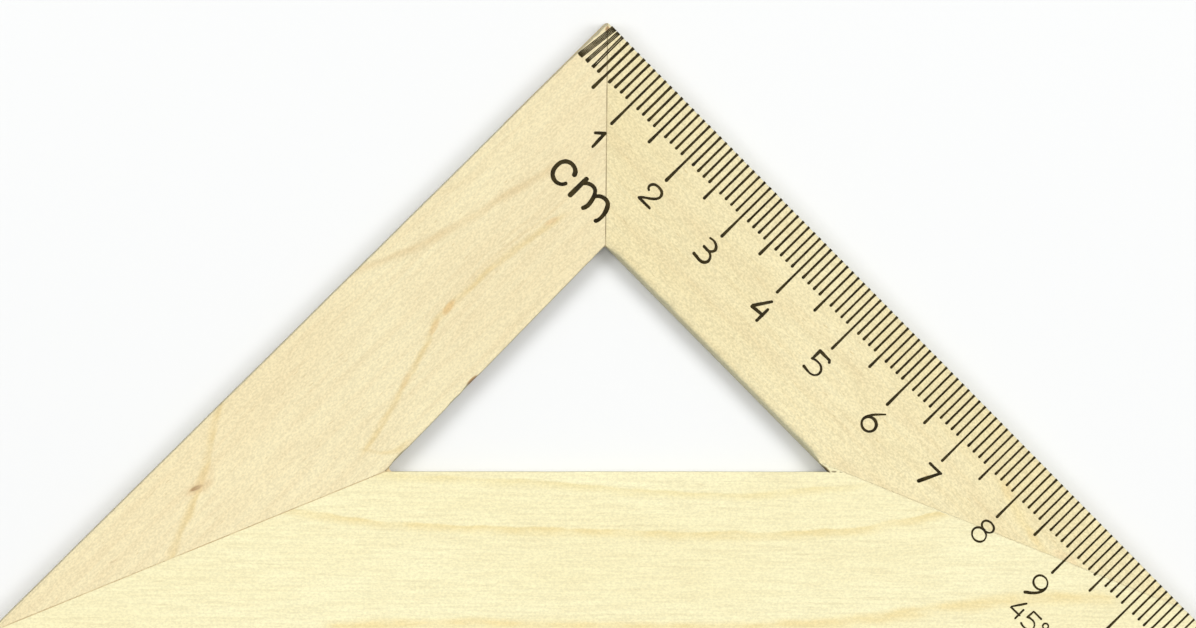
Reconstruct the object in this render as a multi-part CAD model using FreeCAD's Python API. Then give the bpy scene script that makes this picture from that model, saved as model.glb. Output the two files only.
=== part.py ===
import FreeCAD, Part
import math
import os

from FreeCAD import Vector

# Wooden drafting set square, 45-45-90 degrees, with a centimetre scale printed along one leg.
# Three flat strips are mitred together. At each corner the joint has a film of glue and a thin
# loose key, glued into a saw slot that runs through both strips at half their thickness.
#
# Frame, in millimetres: +X runs along the long edge, +Y towards the right-angled tip, and +Z out
# of the printed face. The origin is the centre of the bounding box, on the underside.
# Everything is drawn first with the long edge on y = 0, and moved to the origin on export.

# ---- driving dimensions ----------------------------------------------------------------------
LEG = 110.0                    # outer length of each leg, tip to tip
THICKNESS = 3.0
TIP_RADIUS = 0.4               # the three sharp tips are blunted
EDGE_CHAMFER = 0.15            # sanded arris along every long edge

PLAIN_LEG_WIDTH = (20.0, 20.7)     # at the right-angled corner, at the base corner
SCALE_LEG_WIDTH = (20.1, 20.0)     # at the right-angled corner, at the base corner
BASE_WIDTH = (20.6, 20.9)          # at the plain leg, at the scale leg
SCALE_JOINT_OFFSET = 5.1       # the mitre under the scale leaves the edge this far from the tip
SCALE_JOINT_RISE = 1.6         # and enters the window's edge this far above the window's corner

GLUE_FILM = 0.12               # width of the glue line between two strips
GLUE_RECESS = 0.08             # how far the dried film lies below every outer face
BEAD_RADIUS = 0.45             # squeezed-out glue in a corner of the window
BEAD_RECESS = 0.35             # how far the bead stops below each face

KEY_THICKNESS = 0.8
KEY_DEPTH_RIGHT_ANGLE = 13.0   # from the tip to the straight inner side of the key
KEY_DEPTH_ACUTE = 24.0         # the same at the two 45-degree tips

INK = 0.03                     # printed layer
SCALE_ZERO = -0.45             # the scale's zero lies just beyond the right-angled tip
MARK_WIDTH = 0.30
MILLIMETRE_MARK = 5.1          # length of each kind of mark, from the edge
HALF_CENTIMETRE_MARK = 7.0
CENTIMETRE_MARK = 8.9
MARK_MARGIN = 0.3              # clearance to the long edge where the last marks are cut short
LAST_MARK = 108                # millimetres

NUMERAL_BASELINE = 13.0        # distance from the scale edge to the foot of the numerals
UNIT_PLACE = (13.2, 18.9)      # along the leg and in from the edge: middle of the foot line
ANGLE_PLACE = (91.8, 16.2)
PEN = 0.39                     # ordinary stroke of the numerals
BOLD_PEN = 0.62                # stroke of the unit sign
FINE_PEN = 0.28                # stroke of the angle sign

CLEAR = 2.0                    # how far a cutting shape runs past the wood
TOLERANCE = 1e-6

# ---- corners ---------------------------------------------------------------------------------
ROOT2 = math.sqrt(2.0)
HEIGHT = LEG / ROOT2

TIP_TOP = Vector(0, HEIGHT, 0)
TIP_LEFT = Vector(-HEIGHT, 0, 0)
TIP_RIGHT = Vector(HEIGHT, 0, 0)

WINDOW_TOP = Vector(
    (PLAIN_LEG_WIDTH[0] - SCALE_LEG_WIDTH[0]) / ROOT2,
    HEIGHT - (PLAIN_LEG_WIDTH[0] + SCALE_LEG_WIDTH[0]) / ROOT2,
    0,
)
WINDOW_LEFT = Vector(ROOT2 * PLAIN_LEG_WIDTH[1] - HEIGHT + BASE_WIDTH[0], BASE_WIDTH[0], 0)
WINDOW_RIGHT = Vector(HEIGHT - BASE_WIDTH[1] - ROOT2 * SCALE_LEG_WIDTH[1], BASE_WIDTH[1], 0)

ALONG_SCALE = Vector(1, -1, 0).normalize()     # from the right-angled tip along the scale edge
INTO_WOOD = Vector(-1, -1, 0).normalize()      # from the scale edge into the leg
SCALE_JOINT_OUTER = TIP_RIGHT - ALONG_SCALE * SCALE_JOINT_OFFSET
SCALE_JOINT_INNER = WINDOW_RIGHT + (WINDOW_TOP - WINDOW_RIGHT).normalize() * SCALE_JOINT_RISE

# Blunting the right-angled tip lowers the top of the bounding box by this much.
TIP_LOSS = TIP_RADIUS * (ROOT2 - 1)
TO_ORIGIN = Vector(0, -(HEIGHT - TIP_LOSS) / 2, 0)


# ---- small helpers ---------------------------------------------------------------------------
def prism(points, z_low, z_high):
    """Upright solid on a polygon."""
    base = [Vector(p.x, p.y, z_low) for p in points]
    wire = Part.makePolygon(base + [base[0]])
    return Part.Face(wire).extrude(Vector(0, 0, z_high - z_low))


def upright_edges(solid, points):
    """The vertical edges of a solid that stand on the given points."""
    found = []
    for edge in solid.Edges:
        middle = edge.CenterOfMass
        upright = abs(edge.BoundBox.ZLength - THICKNESS) < TOLERANCE
        gaps = [math.hypot(middle.x - p.x, middle.y - p.y) for p in points]
        if upright and min(gaps) < TOLERANCE:
            found.append(edge)
    return found


def flat_edges(solid):
    """The edges of a slab that lie in its top or bottom face."""
    return [edge for edge in solid.Edges if edge.BoundBox.ZLength < TOLERANCE]


def export(name, shape):
    """Writes one sub-part, moved to the part's own origin."""
    moved = shape.copy()
    moved.translate(TO_ORIGIN)
    moved.exportStep(os.path.join("parts", name + ".step"))


# ---- wooden parts and glue -------------------------------------------------------------------
def make_outline():
    """Full triangular slab without the window, tips blunted."""
    tips = [TIP_LEFT, TIP_RIGHT, TIP_TOP]
    slab = prism(tips, 0, THICKNESS)
    return slab.makeFillet(TIP_RADIUS, upright_edges(slab, tips))


def make_window():
    """Cutting shape for the window, longer than the wood is thick."""
    return prism([WINDOW_LEFT, WINDOW_RIGHT, WINDOW_TOP], -CLEAR, THICKNESS + CLEAR)


def make_ring(outline):
    """Slab with its window, every long edge eased by a small chamfer."""
    ring = outline.cut(make_window())
    return ring.makeChamfer(EDGE_CHAMFER, flat_edges(ring))


def make_joint_band(outer, inner):
    """Cutting shape as wide as the glue, along a mitre and past both of its ends."""
    run = (inner - outer).normalize()
    side = Vector(-run.y, run.x, 0) * (GLUE_FILM / 2)
    start = outer - run * CLEAR
    end = inner + run * CLEAR
    corners = [start - side, end - side, end + side, start + side]
    return prism(corners, -CLEAR, THICKNESS + CLEAR)


def make_key(outline, tip, towards, half_angle, depth):
    """Thin key at half thickness: the tip's corner, cut off square to its bisector."""
    run = (towards - tip).normalize()
    side = Vector(-run.y, run.x, 0) * (depth * math.tan(half_angle) + CLEAR)
    start = tip - run * CLEAR
    end = tip + run * depth
    low = (THICKNESS - KEY_THICKNESS) / 2
    blank = prism([start - side, end - side, end + side, start + side], low, low + KEY_THICKNESS)
    return blank.common(outline)


def make_bead(corner, neighbour_a, neighbour_b):
    """Fillet of squeezed-out glue in one corner of the window."""
    to_a = (neighbour_a - corner).normalize()
    to_b = (neighbour_b - corner).normalize()
    bisector = (to_a + to_b).normalize()
    half_angle = to_a.getAngle(to_b) / 2
    reach = BEAD_RADIUS / math.tan(half_angle)
    centre = corner + bisector * (BEAD_RADIUS / math.sin(half_angle))
    lift = Vector(0, 0, BEAD_RECESS)
    foot_a = corner + to_a * reach + lift
    foot_b = corner + to_b * reach + lift
    nearest = centre - bisector * BEAD_RADIUS + lift
    wire = Part.Wire([
        Part.LineSegment(corner + lift, foot_a).toShape(),
        Part.Arc(foot_a, nearest, foot_b).toShape(),
        Part.LineSegment(foot_b, corner + lift).toShape(),
    ])
    return Part.Face(wire).extrude(Vector(0, 0, THICKNESS - 2 * BEAD_RECESS))


def make_film(outline, band, key):
    """Film of glue in one mitre, set in from the faces and cut around the key."""
    inset = outline.makeOffsetShape(-GLUE_RECESS, TOLERANCE)
    return band.common(inset).cut(make_window()).cut(key)


# ---- printed marks ---------------------------------------------------------------------------
def on_leg(along, into):
    """Point on the printed face, measured from the right-angled tip and in from the scale edge."""
    return TIP_TOP + ALONG_SCALE * along + INTO_WOOD * into + Vector(0, 0, THICKNESS)


def printed(face):
    """A printed patch: a face on the printed side, raised by the layer of ink."""
    return face.extrude(Vector(0, 0, INK))


def mark_length(millimetres, wanted):
    """Length of a mark, cut short where the long edge comes nearer than the mark is long."""
    room = LEG - (SCALE_ZERO + millimetres) - MARK_WIDTH / 2 - MARK_MARGIN
    return min(wanted, room)


def make_marks(numbers, wanted):
    """One straight mark for each number of millimetres."""
    solids = []
    for number in numbers:
        along = SCALE_ZERO + number
        left = along - MARK_WIDTH / 2
        right = along + MARK_WIDTH / 2
        foot = mark_length(number, wanted)
        corners = [
            on_leg(left, EDGE_CHAMFER),
            on_leg(right, EDGE_CHAMFER),
            on_leg(right, foot),
            on_leg(left, foot),
        ]
        solids.append(printed(Part.Face(Part.makePolygon(corners + [corners[0]]))))
    return Part.makeCompound(solids)


# A sign is a list of strokes. Each stroke is a smooth line, a straight line or a closed oval, and
# the width of a line may change evenly from its start to its end.
def curve(points, start_width=PEN, end_width=None):
    return ("curve", points, start_width, end_width or start_width)


def bar(start, end, start_width=PEN, end_width=None):
    return ("curve", [start, end], start_width, end_width or start_width)


def loop(centre, x_radius, y_radius, width=PEN):
    return ("loop", centre, x_radius, y_radius, width)


# Strokes of each sign, in millimetres: x from the sign's middle, y up from its foot line.
NUMERALS = {
    1: [
        bar((-0.62, 2.0), (0.28, 2.82), 0.36, 0.42),
        bar((0.30, 2.82), (0.40, 0.5), 0.46, 0.40),
    ],
    2: [
        curve([(-0.67, 1.75), (-1.0, 2.2), (-0.72, 2.7), (0.0, 2.9), (0.68, 2.7),
               (0.97, 2.1), (0.65, 1.5), (-0.1, 0.9), (-0.85, 0.3)], 0.34, 0.38),
        bar((-0.92, 0.2), (1.0, 0.2), 0.38),
    ],
    3: [
        curve([(-0.85, 3.05), (-0.15, 3.1), (0.42, 2.82), (0.65, 2.35), (0.35, 1.85),
               (-0.25, 1.72)], 0.38),
        bar((-0.65, 1.74), (-0.1, 1.72), 0.38),
        curve([(-0.2, 1.72), (0.5, 1.62), (0.95, 1.2), (1.0, 0.65), (0.6, 0.22),
               (-0.1, 0.12), (-0.95, 0.2)], 0.36, 0.41),
    ],
    4: [
        bar((0.38, 2.95), (-0.95, 0.92), 0.41, 0.50),
        bar((-0.95, 0.76), (0.73, 0.92), 0.48),
        bar((0.73, 1.9), (0.72, -0.1), 0.41, 0.50),
    ],
    5: [
        bar((-0.88, 2.95), (0.85, 2.95), 0.34, 0.30),
        bar((0.85, 2.95), (1.0, 2.76), 0.30),
        bar((-0.85, 2.95), (-0.85, 1.58), 0.36),
        curve([(-0.93, 1.55), (-0.2, 1.76), (0.5, 1.68), (1.02, 1.2), (1.05, 0.6),
               (0.5, 0.1), (-0.2, 0.05), (-0.95, 0.12)], 0.32, 0.36),
    ],
    6: [
        curve([(0.73, 3.2), (0.0, 2.46), (-0.6, 1.65), (-0.84, 0.9)], 0.30, 0.42),
        loop((0.13, 0.85), 0.97, 0.90),
    ],
    7: [
        bar((-0.85, 2.9), (1.05, 2.94), 0.37),
        bar((0.98, 2.9), (-0.3, 0.3), 0.37, 0.48),
    ],
    8: [
        loop((0.07, 2.5), 0.88, 0.65, 0.26),
        loop((-0.02, 1.0), 0.97, 0.85, 0.28),
    ],
    9: [
        loop((-0.15, 2.3), 0.95, 0.85, 0.32),
        curve([(0.8, 2.35), (0.7, 1.5), (0.2, 0.78), (-0.7, 0.05)], 0.34, 0.44),
    ],
}

UNIT_SIGN = [     # "cm"
    curve([(-2.35, 2.3), (-2.95, 2.92), (-3.85, 2.95), (-4.6, 2.3), (-4.75, 1.5), (-4.6, 0.7),
           (-3.85, 0.05), (-2.95, 0.08), (-2.35, 0.7)], BOLD_PEN, 0.5),
    bar((-0.9, 2.95), (-0.9, 0.1), BOLD_PEN),
    curve([(-0.9, 2.0), (-0.2, 2.78), (0.7, 2.85), (1.3, 2.2), (1.4, 0.1)], 0.5, BOLD_PEN),
    curve([(1.4, 2.0), (2.1, 2.78), (3.0, 2.85), (3.6, 2.2), (3.7, 0.1)], 0.5, BOLD_PEN),
]

ANGLE_SIGN = [    # "45" with a degree ring
    bar((-1.75, 2.35), (-2.85, 0.75), FINE_PEN),
    bar((-2.85, 0.62), (-1.3, 0.68), FINE_PEN),
    bar((-1.45, 1.5), (-1.45, 0.0), FINE_PEN),
    bar((-0.4, 2.3), (0.95, 2.3), FINE_PEN),
    bar((-0.4, 2.3), (-0.45, 1.25), FINE_PEN),
    curve([(-0.45, 1.25), (0.2, 1.42), (0.8, 1.25), (1.08, 0.72), (0.75, 0.2), (0.15, 0.02),
           (-0.5, 0.12)], FINE_PEN),
    loop((2.0, 2.05), 0.36, 0.36, 0.24),
]


def spline_edge(points):
    """Straight edge through two points, smooth edge through more."""
    if len(points) == 2:
        return Part.LineSegment(points[0], points[1]).toShape()
    spline = Part.BSplineCurve()
    spline.interpolate(points)
    return spline.toShape()


def curve_face(points, start_width, end_width):
    """Stroke of a pen along a smooth line, with round ends. The width changes evenly."""
    line = spline_edge(points)
    steps = 2 if len(points) == 2 else 3 * len(points)
    first, last = line.ParameterRange
    left, right = [], []
    for step in range(steps):
        share = step / (steps - 1)
        where = first + (last - first) * share
        run = line.tangentAt(where)
        half = (start_width + (end_width - start_width) * share) / 2
        side = Vector(-run.y, run.x, 0) * half
        left.append(line.valueAt(where) + side)
        right.append(line.valueAt(where) - side)
    start_cap = points[0] - line.tangentAt(first) * (start_width / 2)
    end_cap = points[-1] + line.tangentAt(last) * (end_width / 2)
    wire = Part.Wire([
        spline_edge(left),
        Part.Arc(left[-1], end_cap, right[-1]).toShape(),
        spline_edge(right[::-1]),
        Part.Arc(right[0], start_cap, left[0]).toShape(),
    ])
    return Part.Face(wire)


def oval_face(centre, x_radius, y_radius):
    """Filled oval, drawn square to the leg."""
    side = centre + ALONG_SCALE * x_radius
    top = centre - INTO_WOOD * y_radius
    if abs(x_radius - y_radius) < TOLERANCE:
        edge = Part.Circle(centre, Vector(0, 0, 1), x_radius).toShape()
    elif x_radius > y_radius:
        edge = Part.Ellipse(side, top, centre).toShape()
    else:
        edge = Part.Ellipse(top, side, centre).toShape()
    return Part.Face(Part.Wire([edge]))


def loop_face(centre, x_radius, y_radius, width):
    """Closed oval stroke."""
    half = width / 2
    outer = oval_face(centre, x_radius + half, y_radius + half)
    return outer.cut(oval_face(centre, x_radius - half, y_radius - half))


def make_sign(strokes, middle, foot):
    """A numeral or sign: its strokes laid on the printed face and joined."""
    def place(point):
        return on_leg(middle + point[0], foot - point[1])

    solids = []
    for stroke in strokes:
        if stroke[0] == "curve":
            _, points, start_width, end_width = stroke
            face = curve_face([place(p) for p in points], start_width, end_width)
        else:
            _, centre, x_radius, y_radius, width = stroke
            face = loop_face(place(centre), x_radius, y_radius, width)
        solids.append(printed(face))
    sign = solids[0].multiFuse(solids[1:]) if len(solids) > 1 else solids[0]
    return sign.removeSplitter()


# ---- assembly --------------------------------------------------------------------------------
def main():
    os.makedirs("parts", exist_ok=True)

    outline = make_outline()
    # tip, the window's corner, half the tip's angle, depth of the key
    tips = {
        "right_angle": (TIP_TOP, WINDOW_TOP, math.pi / 4, KEY_DEPTH_RIGHT_ANGLE),
        "plain_corner": (TIP_LEFT, WINDOW_LEFT, math.pi / 8, KEY_DEPTH_ACUTE),
        "scale_corner": (TIP_RIGHT, WINDOW_RIGHT, math.pi / 8, KEY_DEPTH_ACUTE),
    }
    # Two mitres run from the tip to the window's corner and end in a bead, the third runs beside it.
    bands = {
        "right_angle": make_joint_band(TIP_TOP, WINDOW_TOP),
        "plain_corner": make_joint_band(TIP_LEFT, WINDOW_LEFT),
        "scale_corner": make_joint_band(SCALE_JOINT_OUTER, SCALE_JOINT_INNER),
    }
    beads = {
        "right_angle": make_bead(WINDOW_TOP, WINDOW_LEFT, WINDOW_RIGHT),
        "plain_corner": make_bead(WINDOW_LEFT, WINDOW_RIGHT, WINDOW_TOP),
    }
    keys = []
    for name, (tip, corner, half_angle, depth) in tips.items():
        key = make_key(outline, tip, corner, half_angle, depth)
        glue = make_film(outline, bands[name], key)
        if name in beads:
            glue = glue.fuse(beads[name]).removeSplitter()
        export(name + "_key", key)
        export(name + "_glue", glue)
        keys.append(key)

    pieces = make_ring(outline).cut(list(bands.values())).Solids
    for piece in pieces:
        centre = piece.CenterOfMass
        if centre.y < BASE_WIDTH[0]:
            name = "base_strip"
        elif centre.x < 0:
            name = "plain_leg_strip"
        else:
            name = "scale_leg_strip"
        export(name, piece.cut(keys))

    millimetres = range(1, LAST_MARK + 1)
    export("millimetre_marks", make_marks([n for n in millimetres if n % 5], MILLIMETRE_MARK))
    export("half_centimetre_marks",
           make_marks([n for n in millimetres if n % 10 == 5], HALF_CENTIMETRE_MARK))
    export("centimetre_marks",
           make_marks([n for n in millimetres if n % 10 == 0], CENTIMETRE_MARK))
    for number, strokes in NUMERALS.items():
        middle = SCALE_ZERO + 10 * number
        export("numeral_%d" % number, make_sign(strokes, middle, NUMERAL_BASELINE))
    export("unit_sign", make_sign(UNIT_SIGN, *UNIT_PLACE))
    export("angle_sign", make_sign(ANGLE_SIGN, *ANGLE_PLACE))


main()
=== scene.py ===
import math

import bmesh
import bpy
from mathutils import Matrix, Vector, geometry, noise


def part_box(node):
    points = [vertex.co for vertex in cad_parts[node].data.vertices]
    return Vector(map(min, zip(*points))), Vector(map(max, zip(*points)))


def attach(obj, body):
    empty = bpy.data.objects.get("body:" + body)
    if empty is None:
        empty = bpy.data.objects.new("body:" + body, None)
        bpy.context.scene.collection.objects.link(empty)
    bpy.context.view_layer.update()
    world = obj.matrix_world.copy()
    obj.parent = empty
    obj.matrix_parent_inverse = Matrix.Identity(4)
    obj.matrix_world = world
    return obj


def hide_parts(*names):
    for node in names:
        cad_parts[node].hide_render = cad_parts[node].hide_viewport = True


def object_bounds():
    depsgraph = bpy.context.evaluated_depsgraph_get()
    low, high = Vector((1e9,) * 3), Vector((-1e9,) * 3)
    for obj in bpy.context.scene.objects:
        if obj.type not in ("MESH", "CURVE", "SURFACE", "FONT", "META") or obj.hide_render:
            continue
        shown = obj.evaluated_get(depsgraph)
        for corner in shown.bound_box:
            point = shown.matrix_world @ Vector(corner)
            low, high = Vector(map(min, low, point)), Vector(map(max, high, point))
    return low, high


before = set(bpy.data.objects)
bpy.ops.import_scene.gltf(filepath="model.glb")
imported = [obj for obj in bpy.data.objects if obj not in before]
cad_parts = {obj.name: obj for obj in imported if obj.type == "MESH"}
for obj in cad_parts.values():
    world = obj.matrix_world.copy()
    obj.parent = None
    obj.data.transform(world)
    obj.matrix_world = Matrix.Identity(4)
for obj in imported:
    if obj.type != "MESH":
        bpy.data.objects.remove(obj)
CAD_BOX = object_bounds()

# Looks of the wooden set square. The three strips and the print are made anew on the places and
# outlines of their CAD nodes. The keys and the glue stay the CAD model's own, with new materials.
# Every mesh is in metres, in the CAD frame. The materials measure the same frame in millimetres.

MM = 0.001
ROOT2 = math.sqrt(2.0)
UP = Vector((0, 0, 1))

# ---- places, worked out from the frame --------------------------------------------------------
TIP_RADIUS = 0.4 * MM                               # the three tips are blunted
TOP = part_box("scale_leg_strip")[1].z                # the printed face
APEX = Vector((0.0, CAD_BOX[1].y + TIP_RADIUS * (ROOT2 - 1), 0.0))
FOOT = CAD_BOX[0].y                                 # y of the long edge
LEG = (APEX.y - FOOT) * ROOT2
LEFT_TIP = Vector((FOOT - APEX.y, FOOT, 0.0))
RIGHT_TIP = Vector((APEX.y - FOOT, FOOT, 0.0))
ALONG_SCALE = Vector((1, -1, 0)).normalized()       # from the apex along the scale edge
ALONG_PLAIN = Vector((-1, -1, 0)).normalized()      # from the apex along the plain edge

# ---- camera, light and floor ------------------------------------------------------------------
VIEW_WIDTH = 151.53 * MM                            # what the camera sees at the printed face
AIM = Vector((-0.97, 1.92, 3.0)) * MM               # the middle of that view
ROLL = math.radians(0.39)
TILT = math.radians(4.5)                            # the walls that face the plain leg's side show
LENS = 400.0
SENSOR = 36.0
SIGHT = 50.0                                        # how far the camera sees, in metres

FACE_LIGHT = 1.33                # how much brighter the light makes the wood's own colour
WORLD_STRENGTH = 0.40
LAMP_DISTANCE = 2.0
LAMP_SIZE = 1.0
# Each lamp: degrees from the vertical, degrees from the apex side towards the scale side, and power
# in watts.
LAMPS = {
    "high_lamp": (3, 0, 9.3),
    "apex_lamp": (42, 0, 14.0),
    "plain_side_lamp": (42, -78, 12.7),
    "scale_side_lamp": (42, 78, 16.3),
}
FLOOR_SIZE = 14.0
FLOOR_GAP = 0.02 * MM
FLOOR_COLOURS = ((0.697, 0.703, 0.701), (0.702, 0.708, 0.706))


def link(item):
    """Puts an object into the scene."""
    bpy.context.scene.collection.objects.link(item)
    return item


def make_camera():
    """Looks down on the printed face, tilted and rolled a little as the scanner's view is."""
    data = bpy.data.cameras.new("camera")
    data.lens = LENS
    data.sensor_width = SENSOR
    data.clip_end = SIGHT
    camera = link(bpy.data.objects.new("camera", data))
    turn = Matrix.Rotation(ROLL, 4, "Z") @ Matrix.Rotation(-TILT, 4, "Y")
    distance = VIEW_WIDTH * LENS / SENSOR
    camera.matrix_world = Matrix.Translation(AIM + turn @ Vector((0, 0, distance))) @ turn
    bpy.context.scene.camera = camera


def make_lamp(name, lean, bearing, power):
    """A large soft round lamp that shines on the middle of the set square."""
    data = bpy.data.lights.new(name, "AREA")
    data.shape = "DISK"
    data.size = LAMP_SIZE
    data.energy = power
    lamp = link(bpy.data.objects.new(name, data))
    aside = math.sin(lean)
    towards = Vector((aside * math.sin(bearing), aside * math.cos(bearing), math.cos(lean)))
    lamp.location = towards * LAMP_DISTANCE
    lamp.rotation_euler = towards.to_track_quat("Z", "Y").to_euler()
    lamp.visible_camera = False


def make_light():
    """Soft lamps from above, from the apex side and from both legs' sides, and an even white world."""
    for name, (lean, bearing, power) in LAMPS.items():
        make_lamp(name, math.radians(lean), math.radians(bearing), power)
    world = bpy.data.worlds.new("studio")
    world.use_nodes = True
    background = world.node_tree.nodes["Background"]
    background.inputs["Color"].default_value = (1.0, 1.0, 1.0, 1.0)
    background.inputs["Strength"].default_value = WORLD_STRENGTH
    bpy.context.scene.world = world
    bpy.context.scene.view_settings.view_transform = "Standard"


def make_floor():
    """A wide white board just under the set square."""
    half = FLOOR_SIZE / 2
    corners = [(-half, -half), (half, -half), (half, half), (-half, half)]
    mesh = bpy.data.meshes.new("floor")
    mesh.from_pydata([(x, y, -FLOOR_GAP) for x, y in corners], [], [(0, 1, 2, 3)])
    floor = link(bpy.data.objects.new("floor", mesh))
    mesh.materials.append(floor_material())


# ---- materials --------------------------------------------------------------------------------
LINE_ROOM = 1.0                  # mm that a curve leaves free above and below its points


class Shader:
    """A material being built. Each method adds a node and returns its output."""

    def __init__(self, name):
        self.material = bpy.data.materials.new(name)
        self.material.use_nodes = True
        self.tree = self.material.node_tree
        self.tree.nodes.clear()

    def node(self, kind, **settings):
        made = self.tree.nodes.new(kind)
        for key, value in settings.items():
            setattr(made, key, value)
        return made

    def feed(self, socket, value):
        """Connects an output to a socket, or sets the socket to a constant."""
        if isinstance(value, bpy.types.NodeSocket):
            self.tree.links.new(value, socket)
        elif socket.type == "RGBA":
            socket.default_value = (*value, 1.0)
        else:
            socket.default_value = value

    def math(self, operation, *values):
        """A sum, product or other result of numbers."""
        made = self.node("ShaderNodeMath", operation=operation)
        for socket, value in zip(made.inputs, values):
            self.feed(socket, value)
        return made.outputs[0]

    def vector(self, operation, *values):
        """The same for vectors and colours."""
        made = self.node("ShaderNodeVectorMath", operation=operation)
        for socket, value in zip(made.inputs, values):
            self.feed(socket, value)
        return made.outputs["Value" if operation in ("DOT_PRODUCT", "LENGTH") else "Vector"]

    def product(self, first, *others):
        """All the values multiplied together."""
        for other in others:
            first = self.math("MULTIPLY", first, other)
        return first

    def along(self, place, start, direction):
        """How far a place lies from a start, measured along a direction."""
        return self.math("SUBTRACT", self.vector("DOT_PRODUCT", place, direction), start.dot(direction))

    def place(self):
        """Point on the surface in the CAD frame, in millimetres."""
        made = self.node("ShaderNodeTexCoord")
        return self.vector("MULTIPLY", made.outputs["Object"], (1 / MM,) * 3)

    def normal(self):
        """Direction that the surface faces, without the bump."""
        return self.node("ShaderNodeNewGeometry").outputs["Normal"]

    def combine(self, x, y, z):
        made = self.node("ShaderNodeCombineXYZ")
        for socket, value in zip(made.inputs, (x, y, z)):
            self.feed(socket, value)
        return made.outputs[0]

    def noise(self, place, grain, detail=2.0, roughness=0.5):
        """Noise from 0 to 1. grain is how many features there are per millimetre on each axis."""
        made = self.node("ShaderNodeTexNoise")
        self.feed(made.inputs["Vector"], self.vector("MULTIPLY", place, grain))
        made.inputs["Scale"].default_value = 1.0
        made.inputs["Detail"].default_value = detail
        made.inputs["Roughness"].default_value = roughness
        return made.outputs[0]

    def step(self, value, low, high, start=0.0, end=1.0):
        """Smooth step from start to end as value goes from low to high."""
        made = self.node("ShaderNodeMapRange", interpolation_type="SMOOTHSTEP")
        for socket, number in zip(made.inputs, (value, low, high, start, end)):
            self.feed(socket, number)
        return made.outputs[0]

    def mix(self, share, first, second):
        """The first colour where share is 0, the second where it is 1."""
        made = self.node("ShaderNodeMix", data_type="RGBA")
        self.feed(made.inputs["Factor"], share)
        self.feed(made.inputs[6], first)
        self.feed(made.inputs[7], second)
        return made.outputs[2]

    def line(self, u, points):
        """v of the smooth line through a few points (u, v)."""
        low_u, high_u = points[0][0], points[-1][0]
        low_v = min(v for _, v in points) - LINE_ROOM
        high_v = max(v for _, v in points) + LINE_ROOM
        share = self.math("DIVIDE", self.math("SUBTRACT", u, low_u), high_u - low_u)
        made = self.node("ShaderNodeFloatCurve")
        bends = made.mapping.curves[0].points
        placed = [((a - low_u) / (high_u - low_u), (b - low_v) / (high_v - low_v)) for a, b in points]
        bends[0].location = placed[0]
        bends[-1].location = placed[-1]
        for bend in placed[1:-1]:
            bends.new(*bend)
        made.mapping.update()
        self.feed(made.inputs["Value"], share)
        return self.math("ADD", self.product(made.outputs[0], high_v - low_v), low_v)

    def finish(self, colour, roughness, specular, bump=None):
        """The surface: colour and roughness may vary, the rest is even."""
        surface = self.node("ShaderNodeBsdfPrincipled")
        self.feed(surface.inputs["Base Color"], colour)
        self.feed(surface.inputs["Roughness"], roughness)
        surface.inputs["Specular IOR Level"].default_value = specular
        if bump is not None:
            self.tree.links.new(bump, surface.inputs["Normal"])
        output = self.node("ShaderNodeOutputMaterial")
        self.tree.links.new(surface.outputs[0], output.inputs["Surface"])
        return self.material

    def bump(self, height, strength, depth):
        made = self.node("ShaderNodeBump")
        made.inputs["Strength"].default_value = strength
        made.inputs["Distance"].default_value = depth
        self.feed(made.inputs["Height"], height)
        return made.outputs[0]


def floor_material():
    """White board, very slightly uneven."""
    shader = Shader("floor_board")
    place = shader.place()
    cloud = shader.noise(place, grain=(0.01, 0.01, 0.01))
    colour = shader.mix(cloud, *FLOOR_COLOURS)
    return shader.finish(colour, roughness=0.9, specular=0.1)


# The grain of a noise is its features per mm along the wood's grain, across it and into the wood.
CLOUD_GRAIN = (0.03, 0.11, 0.2)      # broad pale and deep areas
PORE_GRAIN = (3.2, 4.6, 4.2)
WANDER_GRAIN = (0.25, 0.5, 0.5)      # what makes the rings wander and the spots ragged
PATCH_GRAIN = (0.18, 0.6, 0.6)       # where the rings show more or less
# Values of a noise between which clouds, fibres, flecks, patches and pores fade in.
CLOUD_STEP = (0.3, 0.7)
FIBRE_STEP = (0.35, 0.75)
FLECK_STEP = (0.66, 0.8)
PATCH_STEP = (0.3, 0.65)
PORE_STEP = (0.28, 0.72)
SAWN_AND_SHADED_STEP = (0.6, 0.99)              # the sawn colour and the painted shade on walls and rims fade out as a surface gets level: 0 upright, 1 level
WOOD_ROUGHNESS = (0.58, 0.72)

WANDER = 0.9                         # swing of the wander, in mm for a ring, in half sizes for a spot
RING_WEAKEST = 0.45                  # how much of its strength a ring keeps where it shows least
RING_OUTSIDE = 0.5                   # a ring starts and ends this far outside its end points, in mm
RING_INSIDE = 2.5                    # and has its full strength this far inside them
SPOT_CORE = 0.45                     # part of a spot that has its full strength


def ring_strength(shader, u, v, points, soft, sharp):
    """Strength of a growth ring, which fades at both sides of its line and at both ends."""
    first_u, last_u = points[0][0], points[-1][0]
    offset = shader.math("SUBTRACT", v, shader.line(u, points))
    rise = shader.step(offset, -soft, 0.0)
    fall = shader.step(offset, 0.0, sharp, 1.0, 0.0)
    enter = shader.step(u, first_u - RING_OUTSIDE, first_u + RING_INSIDE)
    leave = shader.step(u, last_u - RING_INSIDE, last_u + RING_OUTSIDE, 1.0, 0.0)
    return shader.product(rise, fall, enter, leave)


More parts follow.
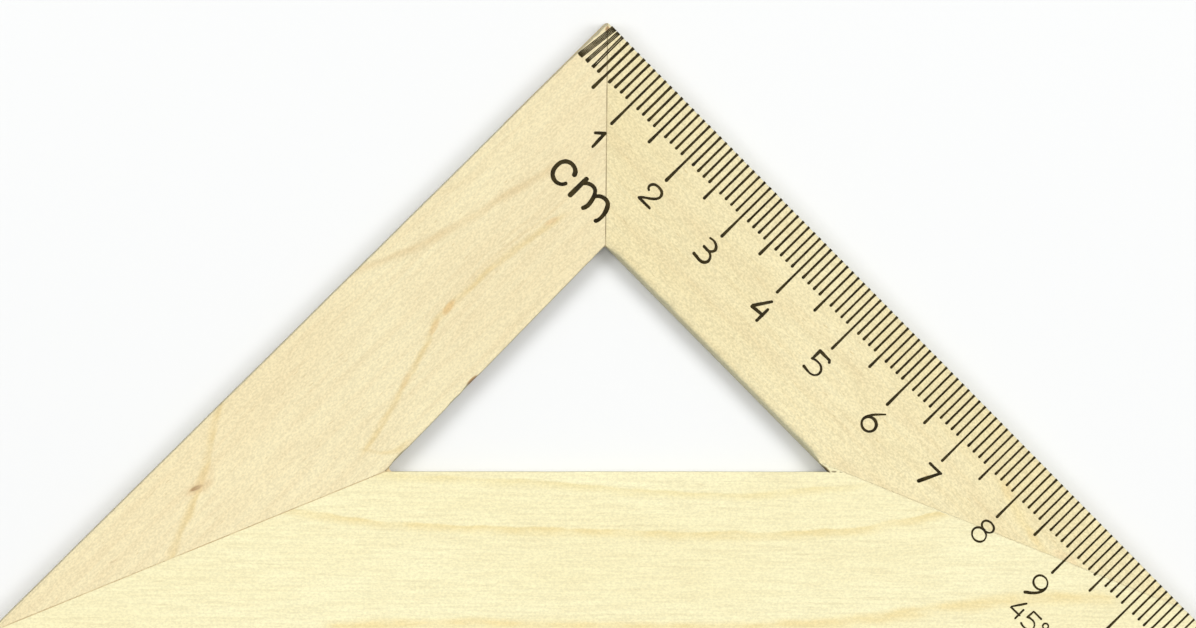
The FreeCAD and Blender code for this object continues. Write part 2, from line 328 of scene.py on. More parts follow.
def spot_distance(shader, u, v, centre, size, turn):
    """Distance from the middle of an oval spot, which is 1 at its edge."""
    du = shader.math("SUBTRACT", u, centre[0])
    dv = shader.math("SUBTRACT", v, centre[1])
    cos, sin = math.cos(turn), math.sin(turn)
    long = shader.math("ADD", shader.product(du, cos), shader.product(dv, sin))
    wide = shader.math("SUBTRACT", shader.product(dv, cos), shader.product(du, sin))
    long_share = shader.math("DIVIDE", long, size[0])
    wide_share = shader.math("DIVIDE", wide, size[1])
    return shader.vector("LENGTH", shader.combine(long_share, wide_share, 0.0))


def wood_material(name, grain_from, grain_along, look):
    """Sawn and sanded wood. u runs along the grain and v across it, in millimetres."""
    shader = Shader(name)
    place = shader.place()
    start = grain_from / MM
    u = shader.along(place, start, grain_along)
    v = shader.along(place, start, Vector((-grain_along.y, grain_along.x, 0)) * look["side"])
    height = shader.vector("DOT_PRODUCT", place, UP)
    wood = shader.combine(u, v, height)

    # Broad clouds, fibres and dark flecks.
    cloud = shader.noise(wood, CLOUD_GRAIN, detail=3.0)
    fibre = shader.noise(wood, look["fibre"], detail=3.0, roughness=0.6)
    fleck = shader.noise(wood, look["fleck"], detail=1.0)
    colour = shader.mix(shader.step(cloud, *CLOUD_STEP), look["pale"], look["deep"])
    fibre_share = shader.step(fibre, *FIBRE_STEP, 0.0, look["fibre_depth"])
    colour = shader.mix(fibre_share, colour, look["fibre_tone"])
    fleck_share = shader.step(fleck, *FLECK_STEP, 0.0, look["fleck_depth"])
    colour = shader.mix(fleck_share, colour, look["fleck_tone"])

    # Growth rings, which run into the wood at a slant.
    wander = shader.math("SUBTRACT", shader.noise(wood, WANDER_GRAIN, detail=3.0), 0.5)
    shifted = shader.math("ADD", v, shader.product(wander, WANDER))
    below_face = shader.math("SUBTRACT", height, TOP / MM)
    slanted = shader.math("ADD", shifted, shader.product(below_face, look["slant"]))
    patchy = shader.step(shader.noise(wood, PATCH_GRAIN), *PATCH_STEP, RING_WEAKEST, 1.0)
    for points, soft, sharp, tone, share in look["rings"]:
        strength = ring_strength(shader, u, slanted, points, soft, sharp)
        colour = shader.mix(shader.product(strength, patchy, share), colour, tone)

    # Knots, flecks, stains and dark corner spots at places of their own.
    for centre, size, turn, tone, share in look["spots"]:
        far = spot_distance(shader, u, v, centre, size, turn)
        ragged = shader.math("ADD", far, shader.product(wander, WANDER))
        colour = shader.mix(shader.step(ragged, SPOT_CORE, 1.0, share, 0.0), colour, tone)

    # Pores, a slow change along the strip, and the darker sawn sides and rounded edges, partly painted
    # shade.
    pores = shader.noise(wood, PORE_GRAIN, roughness=0.6)
    grit = shader.step(pores, *PORE_STEP, 1 - look["pore_depth"], 1 + look["pore_depth"])
    shade = shader.product(grit, shader.step(u, *look["drift"]))
    colour = shader.vector("MULTIPLY", colour, shader.combine(shade, shade, shade))
    # Upright faces and rounded edges are painted darker and cooler: partly the sawn wood's colour,
    # partly painted shade.
    level = shader.math("ABSOLUTE", shader.vector("DOT_PRODUCT", shader.normal(), UP))
    sawn_and_shaded = shader.vector("MULTIPLY", colour, look["sawn_and_shaded"])
    colour = shader.mix(shader.step(level, *SAWN_AND_SHADED_STEP), sawn_and_shaded, colour)

    relief = shader.math("ADD", shader.product(fibre, 0.7), shader.product(pores, 0.3))
    bump = shader.bump(relief, strength=0.35, depth=0.03 * MM)
    roughness = shader.step(fibre, 0.2, 0.8, *WOOD_ROUGHNESS)
    return shader.finish(colour, roughness, specular=0.3, bump=bump)


def shown(red, green, blue):
    """Colour of a face that looks like these sRGB values from 0 to 255 under the lamps."""
    shares = [((value / 255 + 0.055) / 1.055) ** 2.4 for value in (red, green, blue)]
    return tuple(share / FACE_LIGHT for share in shares)


# Looks of the three strips:
# side: 1 where v runs to the left of the grain's direction, -1 where it runs to the right
# sawn_and_shaded: what upright faces and rounded edges keep of the sanded face's red, green and blue:
# the sawn wood's own colour and painted shade on walls and rims
# pale, deep: colours of the broad clouds
# fibre, fibre_tone, fibre_depth: grain, colour and strength of the fibres, and fleck the same
# pore_depth: how much lighter and darker the pores make the wood
# drift: from this u to that u, the brightness changes from this to that
# slant: how far a ring moves across the grain for each mm into the wood
# rings: points (u, v) in mm, width of the soft and of the sharp side in mm, colour, strength
# spots: place (u, v) in mm, half length and half width in mm, turn in radians, colour, strength
RING_TAN = shown(220, 195, 146)
RING_AMBER = shown(225, 201, 143)
PLAIN_LOOK = {
    "side": 1,
    "sawn_and_shaded": (0.64, 0.67, 0.70),
    "pale": shown(243, 231, 188),
    "deep": shown(239, 224, 180),
    "fibre": (0.10, 1.6, 1.2),
    "fibre_tone": shown(226, 203, 158),
    "fibre_depth": 0.32,
    "pore_depth": 0.10,
    "drift": (45.0, 80.0, 0.985, 1.02),
    "fleck": (0.7, 4.2, 3.0),
    "fleck_tone": shown(204, 175, 128),
    "fleck_depth": 0.4,
    "slant": 0.5,
    "rings": [
        ([(16.0, 8.6), (20.3, 7.8), (24.0, 6.6), (29.0, 5.6), (33.5, 4.4), (37.5, 3.1), (41.0, 1.7),
          (46.0, -0.4)], 0.8, 1.1, RING_TAN, 0.62),
        ([(17.0, 3.6), (20.5, 3.1), (24.0, 2.5), (27.5, 1.6), (32.5, -0.4)], 1.1, 0.8, RING_TAN, 0.22),
        ([(20.0, 14.0), (22.5, 13.3), (27.0, 12.6), (32.0, 12.0), (38.9, 11.7), (42.2, 11.8),
          (44.4, 12.8), (50.3, 14.6), (55.0, 15.9), (61.5, 17.3)], 0.8, 0.65, RING_AMBER, 0.75),
        ([(19.0, 12.4), (23.0, 12.0), (27.0, 11.5), (32.0, 11.0), (37.0, 10.9)],
         0.4, 0.3, RING_TAN, 0.35),
        ([(21.0, 11.2), (26.0, 10.6), (31.0, 10.1), (36.0, 9.6)], 0.4, 0.3, RING_TAN, 0.25),
        ([(54.5, 20.3), (56.0, 20.0), (57.7, 19.6), (59.0, 18.4), (60.8, 15.6)],
         0.6, 0.8, RING_AMBER, 0.8),
        ([(67.5, -1.0), (70.0, 0.7), (72.6, 2.3), (74.8, 3.9), (78.0, 5.5), (80.2, 6.7), (83.2, 7.9),
          (89.0, 10.2)], 1.2, 0.6, RING_AMBER, 0.75),
    ],
    "spots": [
        ((0.6, 0.7), (0.5, 0.4), 0.4, shown(168, 118, 66), 0.75),
        ((78.6, 5.4), (1.05, 0.30), -0.36, shown(128, 98, 62), 0.9),
        ((78.4, 5.6), (2.2, 0.8), -0.3, shown(218, 184, 134), 0.4),
        ((39.8, 11.6), (1.5, 0.6), 0.15, shown(222, 182, 118), 0.6),
        ((42.8, 12.1), (1.6, 0.5), 0.35, shown(222, 184, 124), 0.4),
        ((22.8, 13.0), (1.3, 0.4), -0.3, shown(226, 192, 140), 0.5),
        ((50.3, 14.4), (1.8, 0.6), 0.3, shown(224, 190, 134), 0.35),
        ((77.0, 5.6), (2.2, 1.3), 0.5, shown(230, 206, 158), 0.35),
        ((92.6, 4.6), (0.9, 0.16), -0.3, shown(212, 188, 148), 0.5),
        ((44.1, 20.25), (1.3, 0.34), 0.0, shown(176, 124, 60), 0.8),
    ],
}
SCALE_LOOK = {
    "side": -1,
    "sawn_and_shaded": (0.78, 0.84, 0.92),
    "pale": shown(242, 230, 185),
    "deep": shown(237, 223, 175),
    "fibre": (0.12, 1.8, 1.4),
    "fibre_tone": shown(226, 205, 153),
    "fibre_depth": 0.28,
    "pore_depth": 0.125,
    "drift": (20.0, 95.0, 0.985, 1.02),
    "fleck": (0.8, 3.6, 3.0),
    "fleck_tone": shown(202, 176, 122),
    "fleck_depth": 0.45,
    "slant": 0.4,
    "rings": [
        ([(75.5, 4.7), (78.0, 5.5), (80.0, 6.3), (82.0, 6.9), (84.0, 7.2), (86.0, 7.7), (89.0, 8.3)],
         1.3, 1.2, shown(237, 218, 160), 0.6),
        ([(58.0, 18.6), (64.0, 17.5), (72.0, 15.0), (80.0, 12.4)], 1.6, 0.9, RING_TAN, 0.3),
        ([(0.0, 8.5), (25.0, 10.5), (55.0, 8.8), (90.0, 11.5)], 2.6, 0.8, RING_TAN, 0.2),
        ([(15.0, 16.8), (40.0, 15.4), (65.0, 14.2)], 2.2, 0.8, RING_TAN, 0.2),
    ],
    "spots": [
        ((0.6, 0.7), (0.5, 0.4), 0.4, shown(168, 118, 66), 0.75),
        ((78.1, 5.5), (1.5, 0.8), 0.5, shown(228, 202, 144), 0.35),
        ((84.6, 7.3), (2.0, 0.7), 0.2, shown(232, 206, 144), 0.35),
        ((89.6, 6.2), (2.4, 0.7), -0.3, shown(234, 206, 158), 0.35),
    ],
}
BASE_LOOK = {
    "side": 1,
    "sawn_and_shaded": (0.76, 0.77, 0.76),
    "pale": shown(252, 245, 201),
    "deep": shown(249, 240, 193),
    "fibre": (0.16, 3.2, 2.4),
    "fibre_tone": shown(231, 218, 172),
    "fibre_depth": 0.5,
    "pore_depth": 0.08,
    "drift": (-60.0, 60.0, 1.0, 0.985),
    "fleck": (0.35, 4.5, 3.5),
    "fleck_tone": shown(222, 204, 158),
    "fleck_depth": 0.35,
    "slant": 0.35,
    "rings": [
        ([(-34.0, 20.9), (-25.0, 20.2), (-11.5, 19.6), (0.5, 18.8), (14.5, 18.0), (24.5, 18.6),
          (34.0, 19.6)], 1.2, 0.35, shown(240, 225, 168), 0.8),
        ([(-45.0, 16.6), (-35.0, 15.1), (-23.0, 13.9), (0.5, 13.3), (16.0, 13.0), (24.5, 13.2),
          (37.5, 14.7), (46.0, 17.4)], 1.3, 0.35, shown(239, 220, 160), 0.9),
        ([(-36.0, 1.1), (-28.0, 1.4), (-11.0, 1.5), (5.5, 1.1), (21.5, 1.5), (32.0, 2.3), (48.5, 4.6),
          (59.0, 5.4), (66.0, 4.9)], 1.8, 0.9, shown(241, 221, 160), 0.85),
    ],
    "spots": [
        # Dark grey-brown spots on the base's edge beside the window's right corner: they make that
        # corner darker.
        ((29.2, 20.93), (0.45, 0.16), 0.0, shown(122, 106, 72), 0.8),
        ((30.2, 20.90), (0.40, 0.14), 0.2, shown(132, 116, 80), 0.7),
        ((28.3, 21.2), (0.8, 0.24), math.radians(-45), shown(124, 98, 60), 0.8),
    ],
}


def key_material():
    """Veneer of the loose keys, a little darker than the strips, with fine fibres."""
    shader = Shader("key_veneer")
    place = shader.place()
    fibre = shader.noise(place, grain=(0.3, 0.3, 6.0), detail=3.0, roughness=0.6)
    colour = shader.mix(shader.step(fibre, 0.3, 0.7), shown(212, 194, 150), shown(188, 166, 120))
    bump = shader.bump(fibre, strength=0.3, depth=0.02 * MM)
    return shader.finish(colour, roughness=0.68, specular=0.25, bump=bump)


# Colours of the dried glue in each mitre: clear and dusty. The two corner glues are lightened with
# painted light that cancels the shade in their sunken lines.
GLUE_TONES = {
    "right_angle_glue": (shown(206, 188, 144), shown(166, 146, 106)),
    # painted light: these two corner tones are lightened to cancel the shade in the sunken mitre lines
    "plain_corner_glue": (shown(243, 225, 176), shown(222, 197, 148)),
    "scale_corner_glue": (shown(253, 246, 204), shown(243, 230, 186)),
}


def glue_material(node):
    """Dried wood glue with dust in it. The corner glues' tones also carry painted light against the
    shade of their sunken lines.
    """
    clear, dusty = GLUE_TONES[node]
    shader = Shader(node.replace("_glue", "_dried_glue"))
    place = shader.place()
    cloud = shader.noise(place, grain=(0.35, 0.35, 1.2), detail=3.0)
    dust = shader.noise(place, grain=(5.0, 5.0, 5.0))
    colour = shader.mix(shader.step(cloud, 0.35, 0.65), clear, dusty)
    colour = shader.mix(shader.step(dust, 0.5, 0.75, 0.0, 0.4), colour, shown(120, 92, 56))
    bump = shader.bump(dust, strength=0.3, depth=0.02 * MM)
    return shader.finish(colour, roughness=0.45, specular=0.4, bump=bump)


def ink_material():
    """Matt brown-black printing ink, thin enough to show the wood in places."""
    shader = Shader("printing_ink")
    place = shader.place()
    cloud = shader.noise(place, grain=(0.8, 0.8, 0.8), detail=3.0)
    speck = shader.noise(place, grain=(5.0, 5.0, 5.0), detail=3.0, roughness=0.7)
    colour = shader.mix(shader.step(cloud, 0.3, 0.7), shown(36, 29, 6), shown(62, 52, 20))
    colour = shader.mix(shader.step(speck, 0.57, 0.8, 0.0, 0.6), colour, shown(138, 118, 70))
    roughness = shader.step(speck, 0.3, 0.7, 0.55, 0.75)
    bump = shader.bump(speck, strength=0.2, depth=0.01 * MM)
    return shader.finish(colour, roughness, specular=0.12, bump=bump)


# ---- meshes -----------------------------------------------------------------------------------
FLAT = 0.002 * MM                # outline points that stand out less than this are no corners
WELD = 1e-7                      # points nearer than this, in metres, are one point
PLAN_LEVEL = 0.25                # share of its height at which a node is cut for its outline
SHARP_ANGLE = math.radians(40)


def make_piece(name, shape, material, slot, *nodes):
    """A finished piece of the object, which stands for CAD nodes and rides on the one body."""
    bmesh.ops.recalc_face_normals(shape, faces=shape.faces)
    mesh = bpy.data.meshes.new(name)
    shape.to_mesh(mesh)
    shape.free()
    mesh.materials.append(material)
    mesh.shade_smooth()
    mesh.set_sharp_from_angle(angle=SHARP_ANGLE)
    piece = link(bpy.data.objects.new(name, mesh))
    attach(piece, "root")
    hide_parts(*nodes)


def bulge(a, b, c):
    """How far b stands out from the straight line from a to c."""
    return abs((b - a).cross(c - a)) / (c - a).length


def turned_area(loop):
    """Area inside a loop of points, negative where it runs clockwise."""
    return sum(a.cross(b) for a, b in zip(loop, loop[1:] + loop[:1])) / 2


def plan(node):
    """Corners of a flat CAD node's outline, anticlockwise."""
    low, high = (corner.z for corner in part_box(node))
    shape = bmesh.new()
    shape.from_mesh(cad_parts[node].data)
    bmesh.ops.remove_doubles(shape, verts=shape.verts, dist=WELD)
    level = UP * (low + (high - low) * PLAN_LEVEL)
    everything = [*shape.verts, *shape.edges, *shape.faces]
    cut = bmesh.ops.bisect_plane(shape, geom=everything, plane_co=level, plane_no=UP)
    edges = [item for item in cut["geom_cut"] if isinstance(item, bmesh.types.BMEdge)]
    vertex = edges[0].verts[0]
    loop = []
    while edges:
        loop.append(vertex.co.to_2d())
        edge = next(edge for edge in vertex.link_edges if edge in edges)
        edges.remove(edge)
        vertex = edge.other_vert(vertex)
    shape.free()
    if turned_area(loop) < 0:
        loop.reverse()
    neighbours = zip(loop[-1:] + loop[:-1], loop, loop[1:] + loop[:1])
    corners = [point for before, point, after in neighbours if bulge(before, point, after) > FLAT]
    # The start is always the corner nearest to the middle, so that each run gives the same faces.
    first = corners.index(min(corners, key=lambda point: point.length))
    return corners[first:] + corners[:first]


# The tip that each key lies in, and the keys at the two ends of each strip.
KEY_TIPS = {"right_angle_key": APEX, "plain_corner_key": LEFT_TIP, "scale_corner_key": RIGHT_TIP}
STRIP_KEYS = {
    "plain_leg_strip": ("right_angle_key", "plain_corner_key"),
    "scale_leg_strip": ("right_angle_key", "scale_corner_key"),
    "base_strip": ("plain_corner_key", "scale_corner_key"),
}
PLANS = {node: plan(node) for node in (*STRIP_KEYS, *KEY_TIPS)}
JOINT_GAP = 0.3 * MM             # a glued side is nearer than this to another strip
JOINT_SHORTEST = 3 * MM          # and longer than this


def gap_to(point, corners):
    """Distance from a point to the outline through the corners."""
    found = []
    for a, b in zip(corners, corners[1:] + corners[:1]):
        share = geometry.intersect_point_line(point, a, b)[1]
        nearest = a.lerp(b, min(1.0, max(0.0, share)))
        found.append((nearest - point).length)
    return min(found)


def is_joint(strip, a, b):
    """True for a side of a strip that is glued to another strip."""
    middle = (a + b) / 2
    others = [node for node in STRIP_KEYS if node != strip]
    near = min(gap_to(middle, PLANS[node]) for node in others) < JOINT_GAP
    return near and (b - a).length > JOINT_SHORTEST


EDGE_STEP = 0.5 * MM             # spacing of the points along a long edge
# Radius of each strip's sanded edges.
RIM_RADII = {"plain_leg_strip": 0.20 * MM, "scale_leg_strip": 0.10 * MM, "base_strip": 0.12 * MM}
WORN_RIM = 0.75 * MM             # the scale leg's edge in the window is worn, this wide
WORN_DEPTH = 1.0 * MM            # and this deep
JOINT_RIM = 0.008 * MM           # edges along a glue line stay sharp
SUPPORT = 0.06 * MM              # flat rim of each face, which keeps the shading even
RIM_TURNS = 4                    # facets of a rounded edge
FADE = 2.5 * MM                  # the wander and the wear die out towards each corner
WINDOW_REACH = 20 * MM           # sides whose middle is nearer to the origin than this face the window

EDGE_WANDER = 0.035 * MM         # how far an edge wanders from the straight line
SLOW_WAVE = 0.13                 # waves of the wander per mm
QUICK_WAVE = 0.9
QUICK_SHARE = 0.25               # what the quick waves add to the wander, the slow ones are the rest
QUICK_FROM = Vector((3.1, 7.7, 0.0))     # keeps the quick waves apart from the slow ones
STRIP_PITCH = 0.1                # distance in the noise from one strip to the next, in metres
CHIP_WAVE = 2.3                  # roughness of a chip, in waves per mm and as a share of its depth
CHIP_ROUGHNESS = 0.35


class Edging:
    """Outline of a strip as rings of many points, with its sanded, worn and chipped edges."""

    def __init__(self, strip, seed, chips):
        self.strip = strip
        self.seed = seed
        self.chips = chips
        self.radius = RIM_RADII[strip]
        self.corners = PLANS[strip]
        self.sides = list(zip(self.corners, self.corners[1:] + self.corners[:1]))
        self.joint = [is_joint(strip, a, b) for a, b in self.sides]
        self.shares = []
        for a, b in self.sides:
            steps = max(1, round((b - a).length / EDGE_STEP))
            self.shares.append([k / steps for k in range(steps)])

    def normal(self, i):
        """Outward direction of side i."""
        a, b = self.sides[i]
        run = b - a
        return Vector((run.y, -run.x)).normalized()

    def is_worn(self, i):
        """True for the scale leg's side in the window."""
        a, b = self.sides[i]
        in_window = (a + b).length / 2 < WINDOW_REACH
        return self.strip == "scale_leg_strip" and in_window and not self.joint[i]

    def rim(self, i):
        """Width of the rounded edge along side i."""
        if self.joint[i]:
            return JOINT_RIM
        return WORN_RIM if self.is_worn(i) else self.radius

    def inset_corner(self, i, inset):
        """Where the two sides at corner i meet when each is moved inwards by inset rims."""
        first, second = self.normal(i - 1), self.normal(i)
        d1 = self.corners[i].dot(first) - inset * self.rim(i - 1)
        d2 = self.corners[i].dot(second) - inset * self.rim(i)
        det = first.x * second.y - first.y * second.x
        return Vector(((d1 * second.y - d2 * first.y) / det, (first.x * d2 - second.x * d1) / det))

    def wander(self, point, fade, chipped):
        """How far the sawn and sanded edge stands out here."""
        place = Vector((point.x, point.y, self.seed * STRIP_PITCH)) / MM
        slow = noise.noise(place * SLOW_WAVE)
        quick = noise.noise(place * QUICK_WAVE + QUICK_FROM)
        moved = EDGE_WANDER * ((1 - QUICK_SHARE) * slow + QUICK_SHARE * quick) * fade
        if chipped:
            rough = 1 - CHIP_ROUGHNESS + CHIP_ROUGHNESS * noise.noise(place * CHIP_WAVE)
            for centre, reach, depth in self.chips:
                far = (point - centre.to_2d()).length / reach
                moved -= depth * rough * max(0.0, 1 - far * far)
        return moved

    def ring(self, inset, height, drop=0.0, chipped=False):
        """All points of the outline, moved inwards by inset rims and down by drop rims."""
        moved = [self.inset_corner(i, inset) for i in range(len(self.corners))]
        points = []
        for i, (a, b) in enumerate(zip(moved, moved[1:] + moved[:1])):
            length = (b - a).length
            for share in self.shares[i]:
                point = a.lerp(b, share)
                fade = min(1.0, min(share, 1 - share) * length / FADE)
                if not self.joint[i]:
                    point += self.normal(i) * self.wander(point, fade, chipped)
                depth = self.radius
                if self.is_worn(i):
                    depth += (WORN_DEPTH - self.radius) * fade
                points.append(Vector((point.x, point.y, height - drop * depth)))
        return points

    def joint_run(self, tip):
        """Direction of the glued side that starts nearest to a tip, away from the tip."""
        tip = tip.to_2d()
        glued = [side for side, joint in zip(self.sides, self.joint) if joint]
        nearest = min(glued, key=lambda side: min((end - tip).length for end in side))
        near, far = sorted(nearest, key=lambda end: (end - tip).length)
        return (far - near).normalized()


def slot_ring(points, key, run):
    """Points of a strip's outline, pushed along the joint to the inner side of a key's slot."""
    tip = KEY_TIPS[key].to_2d()
    a, b = sorted(PLANS[key], key=lambda corner: (corner - tip).length)[-2:]
    inward = Vector(((b - a).y, (a - b).x)).normalized()
    if inward.dot(run) < 0:
        inward.negate()
    moved = []
    for point in points:
        short = max(0.0, (a - point.to_2d()).dot(inward))
        moved.append(point + (run * short / run.dot(inward)).to_3d())
    return moved


def bridge(shape, rings):
    """Walls between rings of the same number of points, with both ends closed."""
    rows = [[shape.verts.new(point) for point in ring] for ring in rings]
    count = len(rows[0])
    for low, high in zip(rows, rows[1:]):
        for k in range(count):
            after = (k + 1) % count
            shape.faces.new((low[k], low[after], high[after], high[k]))
    shape.faces.new(rows[0][::-1])
    shape.faces.new(rows[-1])


def make_strip(node, material, seed, chips=()):
    """A wooden strip with sanded edges and the slots for its two keys."""
    edging = Edging(node, seed, chips)
    slot_low, slot_high = (corner.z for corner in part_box("right_angle_key"))
    flat = 1 + SUPPORT / edging.radius
    angles = [math.pi / 2 * k / RIM_TURNS for k in range(RIM_TURNS + 1)]
    rings = [edging.ring(flat, 0.0)]
    for angle in angles:
        rings.append(edging.ring(1 - math.sin(angle), edging.radius * (1 - math.cos(angle))))
    outer_low = edging.ring(0.0, slot_low)
    outer_high = edging.ring(0.0, slot_high)
    inner_low, inner_high = outer_low, outer_high
    for key in STRIP_KEYS[node]:
        run = edging.joint_run(KEY_TIPS[key])
        inner_low = slot_ring(inner_low, key, run)
        inner_high = slot_ring(inner_high, key, run)
    rings += [outer_low, inner_low, inner_high, outer_high]
    for angle in reversed(angles):
        rings.append(edging.ring(1 - math.sin(angle), TOP, 1 - math.cos(angle), chipped=True))
    rings.append(edging.ring(flat, TOP, chipped=True))
    shape = bmesh.new()
    bridge(shape, rings)
    bmesh.ops.remove_doubles(shape, verts=shape.verts, dist=WELD)
    wood = node.replace("_strip", "_wood")
    make_piece(wood, shape, material, wood, node)


# ---- printed scale ----------------------------------------------------------------------------
SCALE_ZERO = -0.45 * MM          # the scale's zero lies just beyond the apex
LAST_MARK = 108
LONG_EDGE_MARGIN = 0.35 * MM     # the last marks are cut short this far from the long edge
MARK_LENGTHS = {"millimetre": 5.25 * MM, "half_centimetre": 7.15 * MM, "centimetre": 8.95 * MM}
INK_HIGH = 0.02 * MM             # ink above the face
INK_DEEP = 0.01 * MM             # ink soaked into the face

MARK_START = -0.02 * MM          # a mark starts just outside the edge
MARK_WIDTH = 0.325 * MM
MARK_THINNING = 0.0007           # mm that each mark is thinner than the one before
MARK_BLOB = 1.45                 # the inner end, where the ink gathers, is this many times as wide
MARK_BLOB_LENGTH = {"millimetre": 0.9 * MM, "half_centimetre": 2.6 * MM, "centimetre": 3.2 * MM}
MARK_BLOB_POWER = 1.2            # how late along that length the mark swells
MARK_FOOT = 1.25                 # the end at the edge of the wood is this many times as wide
FOOT_REACH = 0.6 * MM
MARK_STEPS = 18                  # steps along each side of a mark
CAP_STEPS = 6                    # steps round its inner end

# How one mark differs from the next, as shares of its length and widths, and how its sides wobble.
LENGTH_SPREAD = 0.012
WIDTH_SPREAD = 0.10
BLOB_SPREAD = 0.12
MARK_WOBBLE = 0.014 * MM
SEED = 7                         # of the ink's noise
FOR_LENGTH, FOR_WIDTH, FOR_BLOB, FOR_LEFT, FOR_RIGHT, FOR_LINE = range(1, 7)
USE_PITCH = 5.17                 # distance in the noise from one use to the next
MARK_PITCH = 0.731               # and from one mark to the next
NEXT_LINE = 0.21                 # what the next line of a mark adds to the mark's number
NEXT_STEP = 0.37                 # what the next step along a mark adds to it

# Marks beside the apex were stamped badly: number, offset of the foot and of the inner end along
# the edge, width and extra length, in mm, and the number of thin lines that the stroke breaks into.
SMEARED = {
    1: (0.66, 0.02, 0.80, 0.40, 5),
    2: (0.46, 0.14, 0.54, 0.30, 3),
    3: (0.18, 0.22, 0.46, 0.25, 2),
    4: (0.19, 0.12, 0.36, 0.24, 1),
    5: (0.15, 0.08, 0.34, 0.20, 1),
    6: (0.16, 0.05, 0.34, 0.22, 1),
    7: (0.14, 0.05, 0.33, 0.06, 1),
    8: (0.07, 0.03, 0.32, 0.0, 1),
}
LINE_SHARE = 0.79                # ink in a stroke that breaks into lines, the rest is bare wood
LINE_SHORT = 0.25 * MM           # up to this much is missing at the inner end of such a line


def on_scale_leg(along, into):
    """Place along the scale edge from the apex, and in from that edge."""
    return APEX + ALONG_SCALE * along + ALONG_PLAIN * into


def on_plain_leg(along, into):
    """Place along the plain edge from the apex, and in from that edge."""
    return APEX + ALONG_PLAIN * along + ALONG_SCALE * into


def mark_kind(number):
    """Name of the kind of mark that stands at a number of millimetres."""
    if number % 10 == 0:
        return "centimetre"
    return "half_centimetre" if number % 5 == 0 else "millimetre"


def ink_noise(number, use):
    """Small repeatable difference of one mark from the next, from -1 to 1."""
    return noise.noise(Vector((number * MARK_PITCH, use * USE_PITCH, SEED)))


def add_stroke(shape, number, foot, inner, width, length, reach):
    """One stroke of ink from the edge inwards, with a rounded blob at its inner end."""
    width *= 1 + WIDTH_SPREAD * ink_noise(number, FOR_WIDTH)
    blob = width * MARK_BLOB * (1 + BLOB_SPREAD * ink_noise(number, FOR_BLOB))
    left, right = [], []
    for k in range(MARK_STEPS + 1):
        share = k / MARK_STEPS
        into = MARK_START + (length - blob / 2 - MARK_START) * share
        swell = max(0.0, 1 - (length - into) / reach) ** MARK_BLOB_POWER
        flare = max(0.0, 1 - into / FOOT_REACH)
        half = (width + (blob - width) * swell + (MARK_FOOT - 1) * width * flare) / 2
        centre = foot + (inner - foot) * share
        spot = number + NEXT_STEP * k
        left.append((centre - half + MARK_WOBBLE * ink_noise(spot, FOR_LEFT), into))
        right.append((centre + half + MARK_WOBBLE * ink_noise(spot, FOR_RIGHT), into))
    cap_centre = (left[-1][0] + right[-1][0]) / 2
    cap_half = (right[-1][0] - left[-1][0]) / 2
    cap = []
    for k in range(1, CAP_STEPS):
        angle = math.pi * k / CAP_STEPS
        cap.append((cap_centre - cap_half * math.cos(angle), into + cap_half * math.sin(angle)))
    outline = [on_scale_leg(*point) for point in left + cap + right[::-1]]
    low = [Vector((p.x, p.y, TOP - INK_DEEP)) for p in outline]
    high = [Vector((p.x, p.y, TOP + INK_HIGH)) for p in outline]
    bridge(shape, [low, high])


def add_mark(shape, number):
    """One mark of the scale: one stroke, or a few thin ones side by side."""
    usual = (0.0, 0.0, MARK_WIDTH / MM - MARK_THINNING * number, 0.0, 1)
    foot, inner, width, extra, lines = SMEARED.get(number, usual)
    along = SCALE_ZERO + number * MM
    kind = mark_kind(number)
    length = MARK_LENGTHS[kind] * (1 + LENGTH_SPREAD * ink_noise(number, FOR_LENGTH)) + extra * MM
    length = min(length, LEG - along - LONG_EDGE_MARGIN)
    pitch = width * MM / lines
    line_width = pitch * (LINE_SHARE if lines > 1 else 1.0)
    for k in range(lines):
        middle = along + (k - (lines - 1) / 2) * pitch
        line = number + NEXT_LINE * k
        short = LINE_SHORT * abs(ink_noise(line, FOR_LINE)) if lines > 1 else 0.0
        ends = (middle + foot * MM, middle + inner * MM)
        add_stroke(shape, line, *ends, line_width, length - short, MARK_BLOB_LENGTH[kind])


def make_marks(kind, ink):
    """All marks of one kind, as one piece."""
    shape = bmesh.new()
    for number in range(1, LAST_MARK + 1):
        if mark_kind(number) == kind:
            add_mark(shape, number)
    make_piece(kind + "_ink", shape, ink, "ink", kind + "_marks")


INK_STEP = 0.14 * MM             # spacing of the points along a printed outline
INK_PRESS = 0.09 * MM            # the stamp presses harder in some places
INK_SHORT = 0.008 * MM           # and spreads the ink a little less than the model's outline
INK_WANDER = 0.022 * MM          # small unevenness of the outline
PRESS_WAVE = 0.55                # waves per mm of the pressure and of the unevenness
WANDER_WAVE = 2.6
UPRIGHT = 0.5                    # a face is a side wall if its normal rises less than this


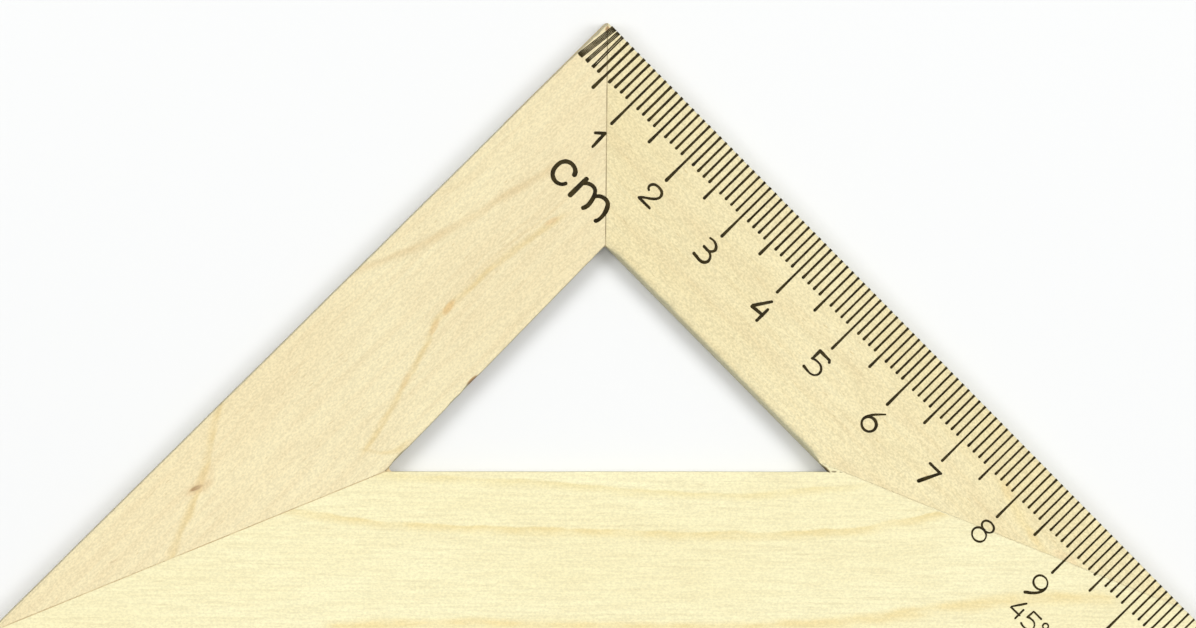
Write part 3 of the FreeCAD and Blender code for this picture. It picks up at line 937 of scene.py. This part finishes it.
def make_print(node, ink):
    """A numeral or sign with the uneven outline of stamped ink, on the CAD node's shape."""
    shape = bmesh.new()
    shape.from_mesh(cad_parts[node].data)
    bmesh.ops.remove_doubles(shape, verts=shape.verts, dist=WELD)
    # The edges round the top and the bottom face get more points.
    flat = [edge for edge in shape.edges if abs(edge.verts[0].co.z - edge.verts[1].co.z) < WELD]
    rims = [edge for edge in flat if any(abs(face.normal.z) < UPRIGHT for face in edge.link_faces)]
    for edge in rims:
        cuts = int(edge.calc_length() / INK_STEP)
        if cuts:
            bmesh.ops.subdivide_edges(shape, edges=[edge], cuts=cuts, use_single_edge=True)
    shape.normal_update()
    moves = []
    for vertex in shape.verts:
        place = Vector((vertex.co.x, vertex.co.y, 0)) / MM
        outward = Vector((vertex.normal.x, vertex.normal.y, 0)).normalized()
        press = noise.noise(place * PRESS_WAVE + UP * SEED) * INK_PRESS - INK_SHORT
        shift = noise.noise_vector(place * WANDER_WAVE + UP * SEED) * INK_WANDER
        moves.append(outward * press + Vector((shift.x, shift.y, 0)))
    for vertex, move in zip(shape.verts, moves):
        vertex.co += move
    bmesh.ops.triangulate(shape, faces=shape.faces)
    make_piece(node + "_ink", shape, ink, "ink", node)


# ---- the whole set square -----------------------------------------------------------------------
# Chips and worn places in the edges: place, reach along the edge and depth.
PLAIN_CHIPS = (
    (on_plain_leg(2.0 * MM, 0.0), 5.0 * MM, 0.20 * MM),
    (on_plain_leg(44.6 * MM, 20.5 * MM), 1.6 * MM, 0.30 * MM),
    (on_plain_leg(47.6 * MM, 20.5 * MM), 1.1 * MM, 0.16 * MM),
    (on_plain_leg(57.5 * MM, 20.6 * MM), 1.5 * MM, 0.22 * MM),
)
SCALE_CHIPS = (
    (on_scale_leg(57.6 * MM, 20.0 * MM), 1.3 * MM, 0.16 * MM),
    (on_scale_leg(55.4 * MM, 20.0 * MM), 1.0 * MM, 0.10 * MM),
    (on_scale_leg(31.0 * MM, 20.0 * MM), 1.6 * MM, 0.14 * MM),
)


def make_strips():
    """The three wooden strips, each with wood of its own."""
    plain = wood_material("plain_leg_wood", APEX, ALONG_PLAIN, PLAIN_LOOK)
    scale = wood_material("scale_leg_wood", APEX, ALONG_SCALE, SCALE_LOOK)
    base = wood_material("base_wood", Vector((0, FOOT, 0)), Vector((1, 0, 0)), BASE_LOOK)
    make_strip("plain_leg_strip", plain, seed=1, chips=PLAIN_CHIPS)
    make_strip("scale_leg_strip", scale, seed=2, chips=SCALE_CHIPS)
    make_strip("base_strip", base, seed=3)


def paint_joints():
    """The keys and the glue keep their CAD shapes and get materials of their own."""
    veneer = key_material()
    for name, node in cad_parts.items():
        if name.endswith(("_key", "_glue")):
            node.data.materials.clear()
            node.data.materials.append(veneer if name.endswith("_key") else glue_material(name))


def make_scale():
    """The marks, the numerals and the two signs."""
    noise.seed_set(SEED)         # without a seed, noise_vector differs from run to run
    ink = ink_material()
    for kind in MARK_LENGTHS:
        make_marks(kind, ink)
    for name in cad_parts:
        if name.startswith("numeral_") or name.endswith("_sign"):
            make_print(name, ink)


make_camera()
make_light()
make_floor()
make_strips()
paint_joints()
make_scale()
